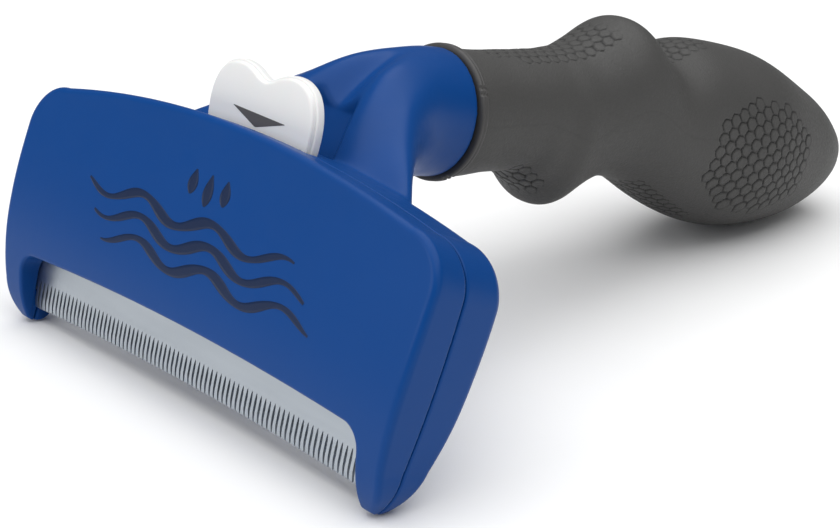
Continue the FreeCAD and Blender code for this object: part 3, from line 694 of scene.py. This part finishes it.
def grip():
    NA = 520
    st = np.array(GRIP)
    ys = [2.62, 2.68, 2.8]
    y = 3.0
    step = 0.27
    while y < 125.0:
        ys.append(y); y += step
    ys += list(np.linspace(125.0, 131.4, 50))
    ys = np.array(ys)
    zt = cspline(st[:, 0], st[:, 1], ys)
    zb = cspline(st[:, 0], st[:, 2], ys)
    w = cspline(st[:, 0], st[:, 3], ys)
    # soft roll where the rubber meets the collar, and the closed butt
    roll = 0.45 * (1 - np.sqrt(np.clip(1 - (1 - np.clip((ys - 2.6) / 0.45, 0, 1)) ** 2, 0, 1)))
    zt = zt - roll - 0.03; zb = zb + roll + 0.05; w = w - roll - 0.03
    for f, dy in ((0.9, 0.07), (0.75, 0.13), (0.55, 0.18), (0.3, 0.21), (0.08, 0.22)):
        zc = 0.5 * (2.3 - 3.9)
        ys = np.append(ys, 131.4 + dy)
        zt = np.append(zt, zc + (2.27 - zc) * f)
        zb = np.append(zb, zc + (-3.85 - zc) * f)
        w = np.append(w, 5.17 * f)
    a = 2 * np.pi * np.arange(NA) / NA
    n = 2.15
    cx = np.sign(np.cos(a)) * np.abs(np.cos(a)) ** (2 / n)
    sz = np.sign(np.sin(a)) * np.abs(np.sin(a)) ** (2 / n)
    zc = 0.5 * (zt + zb)
    X = w[:, None] * cx[None]
    Z = zc[:, None] + (zt - zc)[:, None] * sz[None]
    Y = np.repeat(ys[:, None], NA, 1)
    P = np.stack([X, Y, Z], -1)
    du = np.roll(P, -1, 1) - np.roll(P, 1, 1)
    dv = np.gradient(P, axis=0)
    N = np.cross(du, dv)
    N /= np.maximum(np.linalg.norm(N, axis=-1, keepdims=True), 1e-9)
    if (N[:, :, 0] * X).sum() < 0:
        N = -N
    deep = np.zeros(X.shape)

    def pad(u, v, a, inside, side, depth=0.34):
        nonlocal deep
        cu, cv, lu, lv, e = hexcells(u, v, a)
        g = sstep(0.80, 0.90, e) * (1 - sstep(0.985, 1.03, e) * 0.3)
        rr = np.maximum(np.hypot(lu, lv), 1e-6)
        lean = side[0] * lu / rr + side[1] * lv / rr
        g = g * (0.22 + 0.78 * sstep(-0.15, 0.55, lean))
        m = inside(cu, cv)
        deep = np.maximum(deep, np.where(m, g, 0.0))

    # pads on both sides of the bulb
    ca, sa = math.cos(math.radians(33)), math.sin(math.radians(33))

    def rot(u, v): return u * ca - v * sa, u * sa + v * ca

    def unrot(u, v): return u * ca + v * sa, -u * sa + v * ca
    SC = (88.5, -1.5)
    for k in (1, -1):
        u, v = rot(Y - SC[0], Z - SC[1])

        def bulb(cu, cv):
            yy, zz = unrot(cu, cv)
            return ((np.abs(yy) / 17.0) ** 2.4 + (np.abs(zz) / 12.5) ** 2.4 < 1) & (k * X > 6.0)
        pad(u, v, 2.95, bulb, (-0.95, 0.0))
    # pads on top: before and behind the first bump, and under the grip
    top = (Z > zc[:, None] + 2.0)
    bot = (Z < zc[:, None] - 2.0)
    SP = np.concatenate([[0], np.cumsum(np.hypot(np.diff(ys), np.diff(zt)))])
    U = np.repeat(SP[:, None], NA, 1)
    u0 = np.interp(26.0, ys, SP); u1 = np.interp(44.0, ys, SP)

    def front_pad(cu, cv): return (cu > np.interp(9.5, ys, SP)) & (cu < np.interp(45.5, ys, SP)) & (np.abs(cv) < 4.0 + 2.8 * np.clip((cu - 8) / 26.0, 0, 1)) & top
    pad(U, X, 2.75, front_pad, (-0.9, 0.3))

    def rear_pad(cu, cv): return (cu > np.interp(56.5, ys, SP)) & (cu < np.interp(76.0, ys, SP)) & (np.abs(cv) < 6.2) & top
    pad(U, X, 2.75, rear_pad, (-0.9, 0.3))
    SB = np.concatenate([[0], np.cumsum(np.hypot(np.diff(ys), np.diff(zb)))])
    UB = np.repeat(SB[:, None], NA, 1)

    def under_a(cu, cv): return (cu > np.interp(19.5, ys, SB)) & (cu < np.interp(29.5, ys, SB)) & (np.abs(cv) < 7.5) & bot
    pad(UB, X, 2.75, under_a, (-0.9, 0.2))

    def under_b(cu, cv): return (cu > np.interp(58.0, ys, SB)) & (cu < np.interp(80.0, ys, SB)) & (np.abs(cv) < 7.5) & bot
    pad(UB, X, 2.75, under_b, (-0.9, 0.2))
    # mould parting line along both sides
    arc = np.abs(Z - zc[:, None])
    line = (1 - sstep(0.10, 0.32, arc)) * (Y > 3.2) * (Y < 130.5)
    P = P - N * (0.42 * deep + 0.03 * line)[..., None]
    # painted shade: this colour mask darkens the engraved cell outlines, most on the lean side of each cell, and
    # faintly the parting line
    groove_shade_mask = np.maximum(deep ** 0.6, 0.10 * line)
    m = len(ys)
    idx = np.arange(m * NA).reshape(m, NA)
    a0 = idx[:-1]; b0 = idx[1:]
    F = np.stack([a0, np.roll(a0, -1, 1), np.roll(b0, -1, 1), b0], -1).reshape(-1, 4)
    V = P.reshape(-1, 3)
    # inner lip at the collar end; no cap is added at the butt
    inner = P[0] * np.array([0.82, 1, 0.82])
    inner[:, 1] = 2.61
    V = np.vstack([V, inner])
    lip = np.stack([m * NA + np.arange(NA), m * NA + (np.arange(NA) + 1) % NA,
                    (np.arange(NA) + 1) % NA, np.arange(NA)], 1)
    F = np.vstack([F, lip])
    fn = np.cross(V[F[:, 1]] - V[F[:, 0]], V[F[:, 2]] - V[F[:, 0]])
    if (fn[:a0.size] * N[:-1].reshape(-1, 3)).sum() < 0:
        F = F[:, ::-1]
    last = (m - 1) * NA
    o = make("rubber_grip_skin", V, F, attr=("groove_painted_shade", np.concatenate([groove_shade_mask.ravel(), np.zeros(NA)])))
    return o


rubber = grip()

# ----------------------------------------------------------------- collar
def collar():
    prof = [(8.6, 0.52), (12.6, 0.52), (12.95, 0.53), (13.22, 0.60), (13.42, 0.72), (13.55, 0.90),
            (13.60, 1.10), (13.60, 1.32), (13.52, 1.40), (13.52, 1.50), (13.60, 1.58), (13.61, 1.95),
            (13.55, 2.18), (13.42, 2.36), (13.22, 2.48), (12.95, 2.55), (12.6, 2.57), (8.6, 2.57)]
    n = 360
    V, F = [], []
    for i in range(n):
        a = 2 * math.pi * i / n
        deg = math.degrees(a) % 360
        nick = 0.0
        for c in (-62, -57, 237, 242, 28, 33, 147, 152):
            if abs((deg - c + 180) % 360 - 180) < 1.3:
                nick = 0.28
        for r, y in prof:
            rr = r - (nick if r > 13.3 else 0)
            V.append((rr * math.cos(a), y, rr * math.sin(a)))
    k = len(prof)
    for i in range(n):
        j = (i + 1) % n
        for q in range(k):
            p = (q + 1) % k
            F.append((i * k + q, i * k + p, j * k + p, j * k + q))
    return make("collar_ring", V, F)


ring = collar()


# ---------------------------------------------------------------- springs
def coil(name, k):
    """Return spring with a closed coil at each end, standing on its ledge."""
    z0, z1, R0, wr, turns = -32.55, -19.85, 1.72, 0.27, 7.0
    n, m = 420, 10
    t = np.linspace(0, 1, n)
    rise = np.interp(t, [0, 0.11, 0.89, 1], [0, 0.05, 0.95, 1.0])
    zc = z0 + wr + (z1 - z0 - 2 * wr) * rise
    a = 2 * np.pi * turns * t
    P = np.stack([R0 * np.cos(a), R0 * np.sin(a), zc], 1)
    T = np.gradient(P, axis=0)
    T /= np.linalg.norm(T, axis=1, keepdims=True)
    out = np.stack([np.cos(a), np.sin(a), np.zeros(n)], 1)
    up = np.cross(T, out)
    V, F = [], []
    for i in range(n):
        for j in range(m):
            b = 2 * math.pi * j / m
            q = P[i] + wr * (math.cos(b) * out[i] + math.sin(b) * up[i])
            V.append((q[0] + k * 28.0, q[1] - 43.0, min(max(q[2], z0), z1)))
    for i in range(n - 1):
        for j in range(m):
            q, r = i * m + j, i * m + (j + 1) % m
            F.append((q, q + m, r + m, r))
    F.append(tuple(range(m)))
    F.append(tuple((n - 1) * m + j for j in range(m))[::-1])
    return make(name, V, F)


coils = [coil("spring_coil_left", -1), coil("spring_coil_right", 1)]


# -------------------------------------------------------------- materials
def lin(c):
    return tuple(((v / 255.0) / 12.92 if v <= 10 else ((v / 255.0 + 0.055) / 1.055) ** 2.4) for v in c)


def material(name, base, alt, rough, rough2, scale, detail=6.0, metal=0.0, bump=0.0, bump_scale=900.0,
             spec=0.5, coat=0.0, coat_rough=0.1, stretch=None, groove_painted_shade=None, sss=0.0, blotch=40.0):
    mt = bpy.data.materials.new(name)
    mt.use_nodes = True
    nt = mt.node_tree
    N, L = nt.nodes, nt.links
    b = N["Principled BSDF"]
    tc = N.new("ShaderNodeTexCoord")
    src = tc.outputs["Object"]
    if stretch:
        mp = N.new("ShaderNodeMapping")
        mp.inputs["Scale"].default_value = stretch
        L.new(src, mp.inputs["Vector"])
        src = mp.outputs["Vector"]
    n1 = N.new("ShaderNodeTexNoise")
    n1.inputs["Scale"].default_value = blotch
    n1.inputs["Detail"].default_value = 3.0
    L.new(src, n1.inputs["Vector"])
    n2 = N.new("ShaderNodeTexNoise")
    n2.inputs["Scale"].default_value = scale
    n2.inputs["Detail"].default_value = detail
    L.new(src, n2.inputs["Vector"])
    mix = N.new("ShaderNodeMix"); mix.data_type = "RGBA"
    mix.inputs["A"].default_value = (*lin(base), 1)
    mix.inputs["B"].default_value = (*lin(alt), 1)
    L.new(n1.outputs["Fac"], mix.inputs["Factor"])
    col = mix.outputs["Result"]
    # painted shade: the vertex attribute mixes a near-black colour into the grip's grooves and parting line
    if groove_painted_shade:
        at = N.new("ShaderNodeAttribute"); at.attribute_name = "groove_painted_shade"
        mg = N.new("ShaderNodeMix"); mg.data_type = "RGBA"
        mg.inputs["B"].default_value = (*lin(groove_painted_shade), 1)
        L.new(at.outputs["Fac"], mg.inputs["Factor"])
        L.new(col, mg.inputs["A"])
        col = mg.outputs["Result"]
    L.new(col, b.inputs["Base Color"])
    mr = N.new("ShaderNodeMapRange")
    mr.inputs["From Min"].default_value = 0.3
    mr.inputs["From Max"].default_value = 0.7
    mr.inputs["To Min"].default_value = rough
    mr.inputs["To Max"].default_value = rough2
    L.new(n2.outputs["Fac"], mr.inputs["Value"])
    L.new(mr.outputs["Result"], b.inputs["Roughness"])
    b.inputs["Metallic"].default_value = metal
    b.inputs["Specular IOR Level"].default_value = spec
    if coat:
        b.inputs["Coat Weight"].default_value = coat
        b.inputs["Coat Roughness"].default_value = coat_rough
    if sss:
        b.inputs["Subsurface Weight"].default_value = sss
        b.inputs["Subsurface Scale"].default_value = 0.001
    if bump:
        n3 = N.new("ShaderNodeTexNoise")
        n3.inputs["Scale"].default_value = bump_scale
        n3.inputs["Detail"].default_value = 4.0
        L.new(src, n3.inputs["Vector"])
        bp = N.new("ShaderNodeBump")
        bp.inputs["Strength"].default_value = 1.0
        bp.inputs["Distance"].default_value = bump
        L.new(n3.outputs["Fac"], bp.inputs["Height"])
        L.new(bp.outputs["Normal"], b.inputs["Normal"])
    return mt


BLUE = material("blue_gloss_plastic", (4, 61, 126), (6, 64, 131), 0.33, 0.41, 500, spec=0.15,
                bump=0.000004, bump_scale=260)
WHITE = material("white_gloss_plastic", (228, 228, 227), (234, 234, 233), 0.32, 0.40, 500, spec=0.35, sss=0.05)
# the grip rubber carries painted shade in its engraved grooves through the near-black groove colour
GREY = material("grip_rubber", (60, 60, 59), (67, 66, 65), 0.50, 0.64, 1500, spec=0.42,
                bump=0.00013, bump_scale=2500, groove_painted_shade=(3, 3, 3))
COLLAR = material("collar_rubber", (60, 59, 59), (68, 67, 66), 0.42, 0.55, 1500, spec=0.45,
                  bump=0.00003, bump_scale=1800)
GASKET = material("gasket_rubber", (14, 14, 16), (20, 20, 22), 0.6, 0.7, 1500, bump=0.00002)
STEEL = material("ground_blade_steel", (184, 190, 196), (168, 175, 182), 0.30, 0.42, 900, metal=1.0,
                 stretch=(0.06, 1.0, 1.0), bump=0.0000012, bump_scale=1500)
PLAIN = material("bright_steel", (190, 193, 196), (170, 173, 177), 0.22, 0.32, 900, metal=1.0)
SCREW = material("zinc_screw_steel", (150, 152, 155), (128, 130, 134), 0.28, 0.42, 1400, metal=1.0,
                 bump=0.000006, bump_scale=2500)
SPRING = material("spring_wire", (140, 142, 146), (110, 112, 118), 0.2, 0.3, 2000, metal=1.0)
BLACK = material("black_inner_plastic", (22, 23, 25), (32, 33, 35), 0.35, 0.5, 1200, bump=0.00001)
NAVY = material("navy_print", (10, 30, 62), (13, 34, 68), 0.38, 0.46, 900, spec=0.24, bump=0.000003)
ARROW = material("grey_print", (78, 76, 77), (90, 88, 88), 0.36, 0.48, 900, bump=0.000003)


def put(o, mt):
    o.data.materials.clear()
    o.data.materials.append(mt)


for o, mt, body, node, slot in (
        (front, BLUE, "tool", "front_shell", "blue_plastic"),
        (back, BLUE, "tool", "rear_shell", "blue_plastic"),
        (teeth, STEEL, "tool", "deshedding_blade", "blade_steel"),
        (heart, WHITE, "ejector", "ejector_button", "white_plastic"),
        (arrow, ARROW, "ejector", None, "black_plastic"),
        (print_, NAVY, "tool", None, "black_plastic"),
        (rubber, GREY, "tool", "rubber_grip", "grey_rubber"),
        (ring, COLLAR, "tool", "grip_collar", "grey_rubber"),
        (coils[0], SPRING, "tool", "return_spring_left", "spring_steel"),
        (coils[1], SPRING, "tool", "return_spring_right", "spring_steel")):
    put(o, mt)
    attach(o, body)
    if node:
        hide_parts(node)

CAD = {"blade_clamp": PLAIN, "blade_screws": SCREW, "shell_screws": SCREW, "ejector_plate": PLAIN,
       "ejector_carriage": BLACK, "plate_rivets": PLAIN, "button_screws": SCREW,
       "spring_pin_left": PLAIN,
       "spring_pin_right": PLAIN, "neck_gasket": GASKET, "neck_screw": SCREW,
       "handle_core_left": BLACK, "handle_core_right": BLACK, "core_screws": SCREW}
for name, mt in CAD.items():
    put(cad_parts[name], mt)
for name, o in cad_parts.items():
    if name not in CAD:
        put(o, {"front_shell": BLUE, "rear_shell": BLUE, "deshedding_blade": STEEL, "ejector_button": WHITE,
                "rubber_grip": GREY, "grip_collar": COLLAR}.get(name, SPRING))

# the springs shorten from 12.7 mm to 7.1 mm as the button goes down; here each spring only gets its own copy of
# its mesh
for k, o in zip((-1, 1), coils):
    tuple(lay([[k * 28.0, -43.0, -32.6]])[0])
    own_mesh(o)

# ------------------------------------------------------------------ stage
fm = bpy.data.meshes.new("floor")
fm.from_pydata([(-4, -4, 0), (4, -4, 0), (4, 4, 0), (-4, 4, 0)], [], [(0, 1, 2, 3)])
floor = bpy.data.objects.new("floor", fm)
bpy.context.scene.collection.objects.link(floor)
FLOOR = material("pale_floor", (244, 244, 244), (247, 247, 247), 0.75, 0.85, 30, spec=0.15)
put(floor, FLOOR)

world = bpy.data.worlds.new("studio")
bpy.context.scene.world = world
world.use_nodes = True
world.node_tree.nodes["Background"].inputs["Color"].default_value = (0.97, 0.985, 1.0, 1)
world.node_tree.nodes["Background"].inputs["Strength"].default_value = 0.16


def softbox(name, loc, aim, size, power, color=(1, 1, 1)):
    l = bpy.data.lights.new(name, "AREA")
    l.shape = "RECTANGLE"
    l.size, l.size_y = size
    l.energy = power
    l.color = color
    o = bpy.data.objects.new(name, l)
    bpy.context.scene.collection.objects.link(o)
    o.location = loc
    o.rotation_euler = (Vector(aim) - Vector(loc)).to_track_quat("-Z", "Y").to_euler()
    return o


softbox("overhead", (0.05, 0.00, 1.30), (0, 0, 0.0), (2.2, 2.2), 32.0)
softbox("front_fill", (-0.35, -1.15, 0.55), (0, -0.05, 0.03), (0.9, 0.7), 5.0)
softbox("right_fill", (1.15, -0.10, 0.55), (0, 0, 0.03), (0.8, 0.8), 1.6)

cam = bpy.data.cameras.new("camera")
co = bpy.data.objects.new("camera", cam)
bpy.context.scene.collection.objects.link(co)
R, U, Fw = Vector((0.67923, 0.73350, 0.02514)), Vector((-0.28560, 0.23262, 0.92970)), Vector((-0.67608, 0.63865, -0.36748))
M = Matrix.Identity(4)
for i in range(3):
    M[i][0], M[i][1], M[i][2] = R[i], U[i], -Fw[i]
M[0][3], M[1][3], M[2][3] = 0.25223, -0.27237, 0.150905
co.matrix_world = M
cam.sensor_width = 36.0
cam.lens = 79.33
cam.clip_start = 0.01
bpy.context.scene.camera = co
bpy.context.scene.view_settings.view_transform = "Standard"
